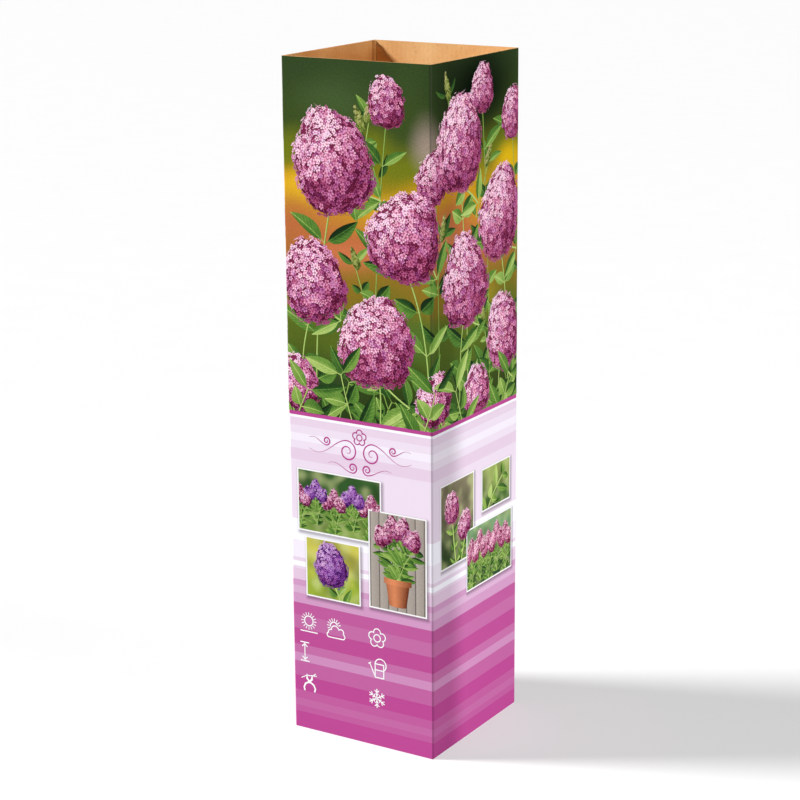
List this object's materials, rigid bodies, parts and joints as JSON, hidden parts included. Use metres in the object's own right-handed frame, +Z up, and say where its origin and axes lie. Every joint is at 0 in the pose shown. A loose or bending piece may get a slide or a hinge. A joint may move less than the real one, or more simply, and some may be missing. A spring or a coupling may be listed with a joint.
{
  "type": "printed cardboard plant carton",
  "caption": "Tall square carton of printed corrugated board, open at the top, for one potted shrub, with a glued seam and a tuck-in bottom panel over dust flaps.",
  "frame": {"origin": "middle of the underside, on the surface that the carton stands on", "axes": "+Z up along the carton, the front wall faces -Y and the right wall faces +X; the glued seam is at the back left corner"},
  "size_m": [0.1, 0.1, 0.41],
  "materials": {
    "printed_board": "satin",
    "kraft_board": "matte"
  },
  "bodies": {
    "tube": {"wall_front": "printed_board", "wall_right": "printed_board", "wall_back": "printed_board", "wall_left": "printed_board", "glue_flap": "kraft_board"},
    "closure": {"closure_panel": "printed_board", "tuck_tab": "kraft_board"},
    "dust_left": {"dust_flap_left": "kraft_board"},
    "dust_right": {"dust_flap_right": "kraft_board"}
  },
  "joints": [
    {"name": "closure_hinge", "type": "hinge", "parent": "tube", "child": "closure", "pos_m": [0, 0.0482, 0], "axis": [1, 0, 0], "range_deg": [0, 90]},
    {"name": "dust_left_hinge", "type": "hinge", "parent": "tube", "child": "dust_left", "pos_m": [-0.0482, 0, 0.0018], "axis": [0, 1, 0], "range_deg": [0, 90]},
    {"name": "dust_right_hinge", "type": "hinge", "parent": "tube", "child": "dust_right", "pos_m": [0.0482, 0, 0.0018], "axis": [0, -1, 0], "range_deg": [0, 90]}
  ],
  "couplings": [
    {"joint": "dust_left_hinge", "follows": "closure_hinge", "ratio": 1},
    {"joint": "dust_right_hinge", "follows": "closure_hinge", "ratio": 1}
  ]
}
